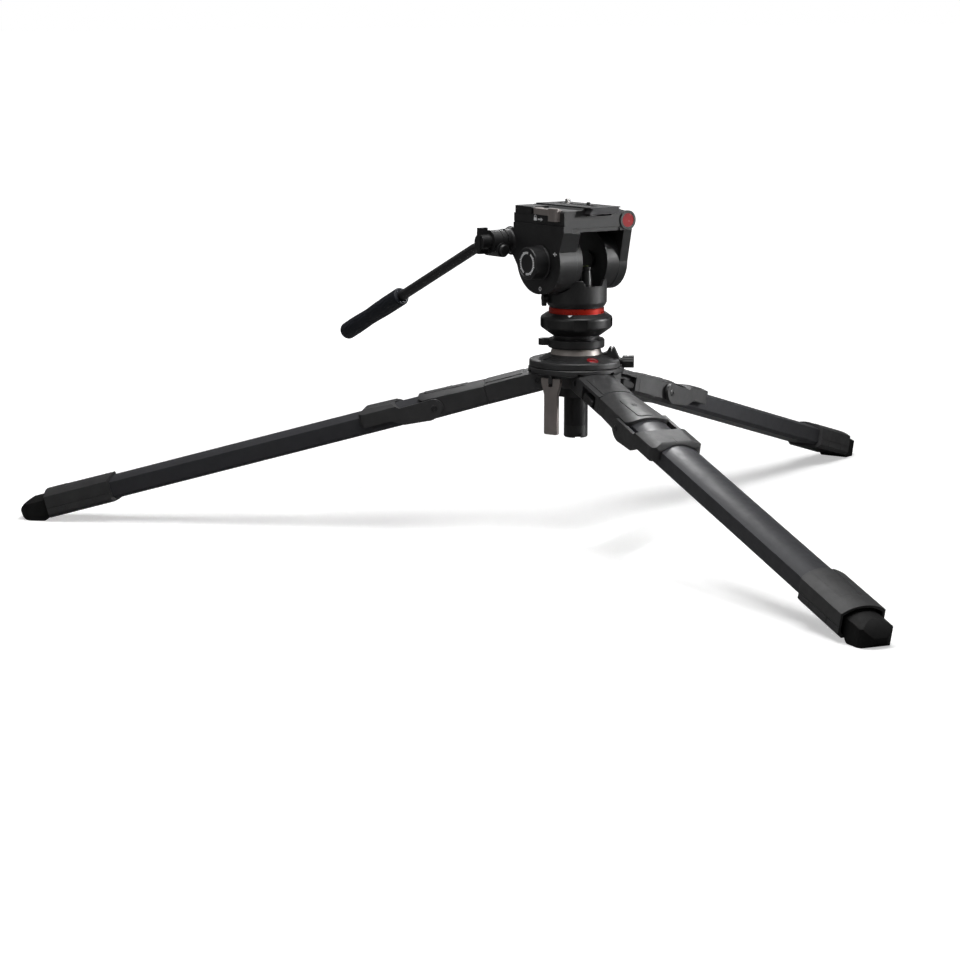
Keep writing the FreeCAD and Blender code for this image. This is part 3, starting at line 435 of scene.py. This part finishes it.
def skinned(name, rows, smooth_angle=35.0):
    """Mesh over rows of points, each row a closed loop; a one-point row closes an end."""
    work = bmesh.new()
    made = [[work.verts.new(p) for p in row] for row in rows]
    for first, second in zip(made, made[1:]):
        count = max(len(first), len(second))
        for i in range(count):
            corners = []
            for row, k in ((first, i), (first, i + 1), (second, i + 1), (second, i)):
                vertex = row[k % len(row)]
                if vertex not in corners:
                    corners.append(vertex)
            if len(corners) > 2:
                work.faces.new(corners)
    return mesh_of(name, work, smooth_angle)


def lathe(name, profile, steps=64, ripple=None):
    """Surface turned about Z; ripple(radius, z, angle) may change the radius."""
    rows = []
    for radius, z in profile:
        if radius == 0:
            rows.append([(0, 0, z)])
            continue
        row = []
        for k in range(steps):
            angle = 2 * math.pi * k / steps
            r = ripple(radius, z, angle) if ripple else radius
            row.append((r * math.cos(angle), r * math.sin(angle), z))
        rows.append(row)
    return skinned(name, rows)


def slab(name, outlines, height):
    """Flat plates of the given outlines, standing the height out of z = 0."""
    work = bmesh.new()
    for outline in outlines:
        low = [work.verts.new((x, y, 0)) for x, y in outline]
        high = [work.verts.new((x, y, height)) for x, y in outline]
        work.faces.new(high)
        work.faces.new(low[::-1])
        count = len(outline)
        for i in range(count):
            j = (i + 1) % count
            work.faces.new((low[i], low[j], high[j], high[i]))
    return mesh_of(name, work)


def arc(centre, radius, start, end, steps=12):
    """Points on an arc, in degrees, both ends included."""
    points = []
    for k in range(steps + 1):
        angle = math.radians(start + (end - start) * k / steps)
        points.append((centre[0] + radius * math.cos(angle),
                       centre[1] + radius * math.sin(angle)))
    return points


def stroke(points, width):
    """Outline of a line of the given width along the points."""
    left, right = [], []
    for i, (x, y) in enumerate(points):
        ahead = Vector(points[min(i + 1, len(points) - 1)])
        behind = Vector(points[max(i - 1, 0)])
        along = (ahead - behind).normalized()
        left.append((x - along.y * width / 2, y + along.x * width / 2))
        right.append((x + along.y * width / 2, y - along.x * width / 2))
    return left + right[::-1]


def ring_outline(radius, width):
    """Outline of a thin ring, left open by a degree so that it stays one simple loop."""
    return stroke(arc((0, 0), radius, 0, 359, 40), width)


def round_points(radius, z, count):
    """Points evenly round a circle about Z."""
    steps = [2 * math.pi * k / count for k in range(count)]
    return [(radius * math.cos(angle), radius * math.sin(angle), z) for angle in steps]


# ---------------------------------------------------------------- dress the CAD nodes
def dress(nodes, material):
    """Gives the CAD nodes one material."""
    for node in nodes:
        thing = frame["nodes"][node]
        thing.data.materials.clear()
        thing.data.materials.append(material)


def dress_nodes():
    """Materials of every CAD node; returns the two that pieces made here also use."""
    nylon, plastic, paint = moulded_nylon(), dark_plastic(), head_paint()
    hub, bronze, black = hub_paint(), bronze_anodised(), turned_black()
    steel, column, rubber = machined_steel(), anodised_column(), foot_rubber()
    dress(("hub_spider", "hub_cover"), hub)
    dress(("camera_screw",), steel)
    dress(("leg_pins", "tilt_axles", "column_cap", "pan_lock", "bubble_housing", "deck_cover",
           "drag_knob", "tilt_lock", "video_pin", "wing_knob", "bar_plug"), plastic)
    dress(("column_release_lever", "plate_lever"), bronze)
    dress(("levelling_ball",), ball_anodised())
    dress(("levelling_cup",), white_nylon())
    dress(("levelling_ring", "release_base", "release_collar", "head_base",
           "column_lock_knob"), black)
    dress(("release_adapter",), red_anodised())
    dress(("centre_column",), column)
    dress(("pan_body", "tilt_cage", "bar_clamp"), paint)
    dress(("boss_cap",), red_enamel())
    dress(("camera_plate",), plate_anodised())
    dress(("pan_bar",), bar_coat())
    for leg in LEGS:
        tube = anodised_tube(leg)
        dress([f"leg_{leg}_tube_{part}" for part in ("outer", "middle", "inner")], tube)
        dress([f"leg_{leg}_{part}" for part in ("root", "sleeve", "release_lever", "shoe")],
              nylon)
        dress([f"leg_{leg}_angle_button"], plastic)
        dress([f"leg_{leg}_foot"], rubber)
    return plastic, steel


# ---------------------------------------------------------------- pieces made here
KNOB_DISH = 0.6 * MM     # depth of the drag knob's face below its rim
GRIP_LENGTH = 130 * MM
GRIP_RADIUS = 10.4 * MM
GRIP_WAIST = 0.9 * MM    # how far the sleeve draws in under the palm
GRIP_PLAIN = 7 * MM      # smooth collar at the grip's upper end
GRIP_DOME = 9 * MM       # rounded part at its lower end
LEVER_HALF = 28.8 * MM   # half the width of a leg's release lever


def bar_axes():
    """Place whose Z runs down the sloping bar, with its origin at the grip's upper end."""
    low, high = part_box("bar_grip")
    down = Vector((0, math.cos(BAR_DROP), -math.sin(BAR_DROP)))
    x = (low.x + high.x) / 2
    top = Vector((x, low.y, high.z))
    centre = box_centre("bar_grip")
    begin = centre - down * (centre - top).dot(down)
    return looking_along(begin, down)


def grip():
    """Rubber sleeve with flowing lengthwise ridges, a plain collar and a domed end."""
    steps_round, steps_along, steps_dome = 144, 150, 9
    ridge, ridges = 0.33 * MM, 14
    length = GRIP_LENGTH
    plain_end, ridge_end = GRIP_PLAIN, length - GRIP_DOME
    profile = [(0, 0), (6 * MM, 0), (8.6 * MM, 0), (9.6 * MM, 0.5 * MM), (9.9 * MM, 1.4 * MM)]
    for k in range(steps_along + 1):
        z = 2.5 * MM + ridge_end * k / steps_along
        share = z / length
        sag = GRIP_WAIST * math.exp(-((share - 0.56) / 0.16) ** 2)
        profile.append((GRIP_RADIUS - sag - 0.5 * MM * share ** 6, z))
    dome_radius, dome_start = profile[-1]
    for k in range(1, steps_dome):
        angle = math.pi / 2 * k / steps_dome
        profile.append((dome_radius * math.cos(angle) ** 0.7,
                        dome_start + (length - dome_start) * math.sin(angle)))
    profile.append((0, length))

    def ripple(radius, z, angle):
        if z < plain_end or z > ridge_end:
            return radius
        fade = min(1.0, (z - plain_end) / (6 * MM), (ridge_end - z) / (8 * MM))
        sway = 0.9 * math.sin(2 * math.pi * z / length + 0.6) + 0.35 * math.sin(31 * z / length)
        wave = math.sin(ridges * (angle + sway * 0.32))
        return radius - ridge * fade * (0.5 - 0.5 * wave) ** 2

    mesh = lathe("grip", profile, steps_round, ripple)
    piece("pan_bar_grip", mesh, grip_rubber(), "bar", bar_axes(), "bar_grip")


def camera_screw(steel):
    """Quarter-inch screw with a real thread and a knurled head."""
    low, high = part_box("camera_screw")
    centre = box_centre("camera_screw")
    height = high.z - low.z
    radius, pitch, tooth_depth = 3.15 * MM, 1.27 * MM, 0.62 * MM
    shank_r, shoulder_r = 3 * MM, 6.6 * MM
    head_r, head_h, chamfer = 7.0 * MM, 4.2 * MM, 0.4 * MM
    knurls, knurl_depth = 36, 0.25 * MM
    thread_from = height - 5.2 * MM
    lead_in, lead_depth = 0.8 * MM, 0.5 * MM
    turn = 36

    def knurl(r, z, angle):
        if 0.3 * MM < z < head_h - 0.3 * MM and r > 6.5 * MM:
            return r - knurl_depth * (0.5 + 0.5 * math.cos(knurls * angle))
        return r

    def thread_radius(z, share):
        """Radius of the thread at a height and a share of the turn."""
        tooth = abs(2 * ((z / pitch - share) % 1.0) - 1)
        near_top = min(1.0, (height - z) / lead_in)
        return radius - tooth_depth * (1 - tooth) - lead_depth * (1 - near_top)

    profile = [(0, 0), (shoulder_r, 0), (head_r, chamfer), (head_r, head_h - chamfer),
               (shoulder_r, head_h), (shank_r, head_h), (shank_r, thread_from)]
    place = Matrix.Translation((centre.x, centre.y, low.z))
    piece("camera_screw_head", lathe("head", profile, 144, knurl), steel, "camera_screw",
          place, "camera_screw")
    rows = []
    for k in range(int((height - thread_from) / pitch * turn)):
        z = thread_from + pitch * k / turn
        row = []
        for i in range(turn):
            angle = 2 * math.pi * i / turn
            r = thread_radius(z, i / turn)
            row.append((r * math.cos(angle), r * math.sin(angle), z))
        rows.append(row)
    rows.append([(0, 0, height)])
    piece("camera_screw_thread", skinned("thread", rows, smooth_angle=50), steel,
          "camera_screw", place)


def spirit_level():
    """Liquid dome, bubble and black centring ring of the turret's level."""
    low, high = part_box("bubble_vial")
    centre = box_centre("bubble_vial")
    radius = (high.x - low.x) / 2
    dome_h = 0.7 * MM
    tall = high.z - dome_h - low.z
    bubble_r, bubble_h = 1.0 * MM, 0.25 * MM
    dome_steps, bubble_steps = 8, 6
    place = Matrix.Translation((centre.x, centre.y, low.z))
    dome = [(0, 0), (radius, 0), (radius, tall)]
    for k in range(1, dome_steps):
        angle = math.pi / 2 * k / dome_steps
        dome.append((radius * math.cos(angle), tall + dome_h * math.sin(angle)))
    dome.append((0, tall + dome_h))
    piece("level_vial", lathe("vial", dome), level_liquid(), "pan", place,
          "bubble_vial")
    top = place @ Matrix.Translation((0.5 * MM, -0.3 * MM, tall + 0.55 * MM))
    bubble = []
    for k in range(bubble_steps):
        angle = math.pi / 2 * k / bubble_steps
        bubble.append((bubble_r * math.cos(angle), bubble_h * math.sin(angle)))
    bubble.append((0, bubble_h))
    piece("level_bubble", lathe("bubble", bubble, 32), bubble_gas(), "pan", top)
    mark = place @ Matrix.Translation((0, 0, tall + 0.56 * MM))
    piece("level_ring_mark", slab("ring", [ring_outline(1.5 * MM, 0.25 * MM)], SKIN),
          dark_plastic(), "pan", mark)


def plate_pads(rubber):
    """Ribbed rubber strips on both sides of the camera plate's slot."""
    low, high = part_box("camera_plate")
    length = high.y - low.y - 14 * MM
    half = 4.75 * MM
    lip = 0.3 * MM
    rib, steps = 1.6 * MM, 4
    valley, crest = 0.12 * MM, 0.16 * MM
    offset, sunk = 11.5 * MM, 0.04 * MM
    count = int(length / rib) * steps
    edge = []
    for k in range(count + 1):
        y = -length / 2 + length * k / count
        edge.append((y, valley + crest * (0.5 - 0.5 * math.cos(2 * math.pi * k / steps))))
    across = ((-half, 0.0), (-half, 0.85), (-half + lip, 1.0),
              (half - lip, 1.0), (half, 0.85), (half, 0.0))
    for side, name in ((-1, "right"), (1, "left")):
        work = bmesh.new()
        rows = [[work.verts.new((x, y, z * fall)) for y, z in edge] for x, fall in across]
        for first, second in zip(rows, rows[1:]):
            for i in range(count):
                work.faces.new((first[i], first[i + 1], second[i + 1], second[i]))
        for i in (0, -1):
            work.faces.new([row[i] for row in rows])
        centre = Vector((side * offset, (low.y + high.y) / 2, high.z - sunk))
        piece(f"plate_pad_{name}", mesh_of("pad", work), rubber, "plate",
              Matrix.Translation(centre))


def socket_screw(name, material, body, place, radius, depth=0.9 * MM):
    """Button head with a hexagon socket, its face towards the place's Z."""
    flat = radius * 0.48 * math.cos(math.pi / 6)
    count = 36
    rows = [round_points(r, z, count) for r, z in
            ((radius, 0), (radius, depth * 0.5), (radius * 0.86, depth * 0.9),
             (radius * 0.66, depth))]
    for z in (depth, depth * 0.1):
        hexagon = []
        for k in range(count):
            angle = 2 * math.pi * k / count
            reach = flat / math.cos(angle % (math.pi / 3) - math.pi / 6)
            hexagon.append((reach * math.cos(angle), reach * math.sin(angle), z))
        rows.append(hexagon)
    rows.append([(0, 0, depth * 0.1)])
    piece(name, skinned(name, rows), material, body, place)


def knob_marks(white):
    """Ring of white ticks on the drag knob's face, broken in two places."""
    axis = Vector(joint("drag_knob_turn")["pos_m"])
    face = Vector((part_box("drag_knob")[0].x + KNOB_DISH, axis.y, axis.z))
    ticks, step = 40, 9.0
    inner, short, tall, thick = 10.2 * MM, 12.6 * MM, 13.4 * MM, 1.2 * MM
    outlines = []
    for k in range(ticks):
        if k % 20 in (0, 19):
            continue
        angle = math.radians(step * (k + 0.5))
        outer = short if k % 5 else tall
        ray = Vector((math.cos(angle), math.sin(angle)))
        outlines.append(stroke([ray * inner, ray * outer], thick))
    place = looking_along(face, (-1, 0, 0)) @ Matrix.Rotation(math.radians(70), 4, "Z")
    piece("knob_ticks", slab("ticks", outlines, SKIN), white, "drag_knob", place)


def drag_marks(white):
    """Broken bar and ring beside the drag knob, for its on and off positions."""
    bar = stroke([(0, -2.1 * MM), (0, 2.1 * MM)], 1.3 * MM)
    dash_left = stroke([(-3.2 * MM, 0), (-1.5 * MM, 0)], 1.1 * MM)
    dash_right = stroke([(1.5 * MM, 0), (3.2 * MM, 0)], 1.1 * MM)
    ring = ring_outline(1.8 * MM, 0.9 * MM)
    for name, y, z, outlines in (
            ("drag_on_mark", -24.5 * MM, -49.5 * MM, [bar, dash_left, dash_right]),
            ("drag_off_mark", 1.5 * MM, -88.2 * MM, [ring])):
        place = looking_along((CHEEK_X, y, z), (-1, 0, 0))
        piece(name, slab(name, outlines, SKIN), white, "cage", place)


def plate_lock_mark(white):
    """Padlock and an arrow by the plate lever."""
    half, shackle_r, foot = 2.6 * MM, 1.6 * MM, 0.6 * MM
    shaft_y, shaft_start, neck, tip = -1 * MM, 4.4 * MM, 9.5 * MM, 13.6 * MM
    barb = 2.2 * MM
    body = [(-half, -half), (half, -half), (half, foot), (-half, foot)]
    bow = arc((0, shackle_r), shackle_r, 180, 0)
    shackle = stroke([(-shackle_r, foot)] + bow + [(shackle_r, 1.0 * MM)], 0.9 * MM)
    shaft = stroke([(shaft_start, shaft_y), (neck, shaft_y)], 1.7 * MM)
    head = [(tip, shaft_y), (neck, shaft_y + barb), (neck, shaft_y - barb)]
    place = looking_along((PANEL_X, 11.5 * MM, -13.2 * MM), (-1, 0, 0))
    piece("plate_lock_mark", slab("lock", [body, shackle, shaft, head], SKIN), white, "cage",
          place)


def index_mark(white):
    """White triangle on the sloping shoulder of the quick-release collar."""
    azimuth = math.radians(-139.5)
    reach, below_top, stand_off = 34.6 * MM, 1.6 * MM, 0.3 * MM
    lean = 0.55              # run over rise of the shoulder's normal
    half, base, apex = 2.6 * MM, -1.6 * MM, 1.8 * MM
    outward = Vector((math.cos(azimuth), math.sin(azimuth), 0))
    spot = outward * reach + UP * (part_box("release_collar")[1].z - below_top)
    normal = (outward * lean + UP).normalized()
    place = looking_along(spot + normal * stand_off, normal, outward)
    triangle = [(-half, base), (half, base), (0, apex)]
    piece("collar_index", slab("index", [triangle], 0.25 * MM), white, "collar",
          place)


def hub_badge(enamel):
    """Plain enamel disc in the hub cover's recess."""
    reach, seat = 41 * MM, 9.95 * MM      # from the pan axis and above the cover's foot
    lean = 0.278                          # run over rise of the cover's normal
    out = Vector((math.cos(BADGE_AZIMUTH), math.sin(BADGE_AZIMUTH), 0))
    spot = out * reach + UP * (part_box("hub_cover")[0].z + seat)
    profile = [(0, -0.6 * MM), (6.3 * MM, -0.6 * MM), (6.3 * MM, 0.05 * MM),
               (6.1 * MM, 0.2 * MM), (5.3 * MM, 0.2 * MM), (5.1 * MM, 0.08 * MM),
               (4.8 * MM, 0.08 * MM), (4.6 * MM, 0.22 * MM), (0, 0.3 * MM)]
    piece("hub_disc", lathe("disc", profile), enamel, "hub",
          looking_along(spot, out * lean + UP, out))


def lever_screws(leg, plastic):
    """Socket screws on both ends of the release lever's hinge."""
    axes = leg_axes(leg)
    pin = axes.inverted() @ Vector(joint(f"leg_{leg}_lever_open")["pos_m"])
    for side, word in ((-1, "a"), (1, "b")):
        spot = axes @ Matrix.Translation((pin.x, side * (LEVER_HALF - 0.1 * MM), pin.z))
        place = spot @ Matrix.Rotation(-side * math.pi / 2, 4, "X")
        socket_screw(f"leg_{leg}_lever_screw_{word}", plastic, f"leg_{leg}_lever",
                     place, 3.6 * MM)


def unlock_icon(leg, plastic):
    """Raised curved arrow on the sleeve, beside the release lever."""
    radius, tip_depth = 2.6 * MM, 3.2 * MM
    root = -0.8 * MM
    hook = stroke(arc((0, 0), radius, -60, 200, 20), 0.8 * MM)
    tip = [(-radius - 1.4 * MM, root), (-radius + 1.4 * MM, root), (-radius, -tip_depth)]
    place = leg_axes(leg) @ Matrix.Translation((98 * MM, 0, 15.35 * MM))
    piece(f"leg_{leg}_icon", slab("icon", [hook, tip], 0.12 * MM), plastic, f"leg_{leg}",
          place)


# ---------------------------------------------------------------- stage
def toe(leg):
    """Empty on the leg's inner tube, where the foot's end meets the floor at rest."""
    below = leg_axes(leg) @ Vector((TOE_REACH, 0, 0))
    thing = bpy.data.objects.new(f"toe_{leg}", None)
    thing.location = (below.x, below.y, FLOOR_Z)
    bpy.context.scene.collection.objects.link(thing)
    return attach(thing, joint(f"leg_{leg}_extend_inner")["child"])


def drop_with_feet(thing):
    """Lets the floor sink to the lowest toe when the legs are folded down or drawn out."""
    sink = thing.driver_add("location", 2).driver
    for leg in LEGS:
        height = sink.variables.new()
        height.name = leg
        height.type = "TRANSFORMS"
        height.targets[0].id = toe(leg)
        height.targets[0].transform_type = "LOC_Z"
        height.targets[0].transform_space = "WORLD_SPACE"
    sink.expression = f"min({FLOOR_Z}, {', '.join(LEGS)})"


def floor_material():
    """Pale and shadowed near the object, white further out, and dim in reflections."""
    material = bpy.data.materials.new("pale_floor")
    material.use_nodes = True
    tree = material.node_tree
    diffuse = add(tree, "BsdfDiffuse", color=(0.78, 0.78, 0.78, 1))
    glow = add(tree, "Emission", color=(1, 1, 1, 1))
    spot = add(tree, "NewGeometry").outputs["Position"]
    reach = add(tree, "VectorMath", operation="LENGTH")
    tree.links.new(spot, reach.inputs[0])
    far_white = ranged(tree, reach.outputs["Value"], 0.5, 1.6, 0.34, 1.1)
    tree.links.new(far_white, glow.inputs["Strength"])
    both = add(tree, "AddShader")
    tree.links.new(diffuse.outputs[0], both.inputs[0])
    tree.links.new(glow.outputs[0], both.inputs[1])
    camera_ray = add(tree, "LightPath").outputs["Is Camera Ray"]
    unseen = add(tree, "BsdfDiffuse", color=(0.22, 0.22, 0.22, 1))
    choice = add(tree, "MixShader")
    tree.links.new(camera_ray, choice.inputs[0])
    tree.links.new(unseen.outputs[0], choice.inputs[1])
    tree.links.new(both.outputs[0], choice.inputs[2])
    tree.links.new(choice.outputs[0], tree.nodes["Material Output"].inputs["Surface"])
    tree.nodes.remove(tree.nodes["Principled BSDF"])
    return material


def floor():
    """Wide level sheet under the feet."""
    work = bmesh.new()
    half = 40.0
    work.faces.new([work.verts.new((x, y, 0)) for x, y in
                    ((-half, -half), (half, -half), (half, half), (-half, half))])
    mesh = mesh_of("floor", work)
    mesh.materials.append(floor_material())
    thing = bpy.data.objects.new("floor", mesh)
    bpy.context.scene.collection.objects.link(thing)
    drop_with_feet(thing)


def soft_box(name, place, aim, width, height, watts, spread=180):
    """Rectangular lamp; a spread under 180 degrees is a grid that keeps the light on its aim."""
    light = bpy.data.lights.new(name, "AREA")
    light.spread = math.radians(spread)
    light.shape = "RECTANGLE"
    light.size = width
    light.size_y = height
    light.energy = watts
    lamp = bpy.data.objects.new(name, light)
    lamp.location = place
    lamp.rotation_euler = (Vector(aim) - Vector(place)).to_track_quat("-Z", "Y").to_euler()
    bpy.context.scene.collection.objects.link(lamp)


def studio():
    """Large box overhead, gridded lamps behind and to the front right, weak fill on the left."""
    middle = (0.0, -0.05, -0.15)
    soft_box("overhead", (-0.1, -0.25, 1.3), middle, 1.2, 1.2, 27)
    soft_box("back", (0.85, 1.15, 1.2), (0.02, 0.0, -0.17), 0.25, 0.25, 0.2, spread=11)
    soft_box("front_right", (1.9, -1.4, 0.3), (0, 0, -0.1), 0.6, 0.6, 1.1, spread=14)
    soft_box("left_fill", (-2.2, -0.4, 0.6), middle, 1.0, 1.4, 4)
    world = bpy.data.worlds.new("studio")
    bpy.context.scene.world = world
    world.use_nodes = True
    tree = world.node_tree
    seen = add(tree, "Background", color=(1, 1, 1, 1), strength=1.0)
    ambient = add(tree, "Background", color=(1, 1, 1, 1), strength=0.18)
    choice = add(tree, "MixShader")
    camera_ray = add(tree, "LightPath").outputs["Is Camera Ray"]
    tree.links.new(camera_ray, choice.inputs[0])
    tree.links.new(ambient.outputs[0], choice.inputs[1])
    tree.links.new(seen.outputs[0], choice.inputs[2])
    tree.links.new(choice.outputs[0], tree.nodes["World Output"].inputs["Surface"])
    bpy.context.scene.view_settings.view_transform = "Standard"


def camera():
    """Long lens to the front right of the object, above its head and looking ten degrees down."""
    data = bpy.data.cameras.new("camera")
    data.lens = 102.4
    data.sensor_width = 36.0
    data.clip_end = 200.0
    thing = bpy.data.objects.new("camera", data)
    thing.location = (-1.7889, -2.3313, 0.2185)
    forward = Vector((0.5714, 0.8020, -0.1740))
    thing.rotation_euler = forward.to_track_quat("-Z", "Y").to_euler()
    bpy.context.scene.collection.objects.link(thing)
    bpy.context.scene.camera = thing


# ---------------------------------------------------------------- build
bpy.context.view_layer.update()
plastic, steel = dress_nodes()
white = white_print()
grip()
camera_screw(steel)
spirit_level()
plate_pads(pad_rubber())
knob_marks(white)
drag_marks(white)
plate_lock_mark(white)
index_mark(white)
hub_badge(red_enamel())
for leg in LEGS:
    lever_screws(leg, plastic)
    unlock_icon(leg, plastic)
floor()
studio()
camera()
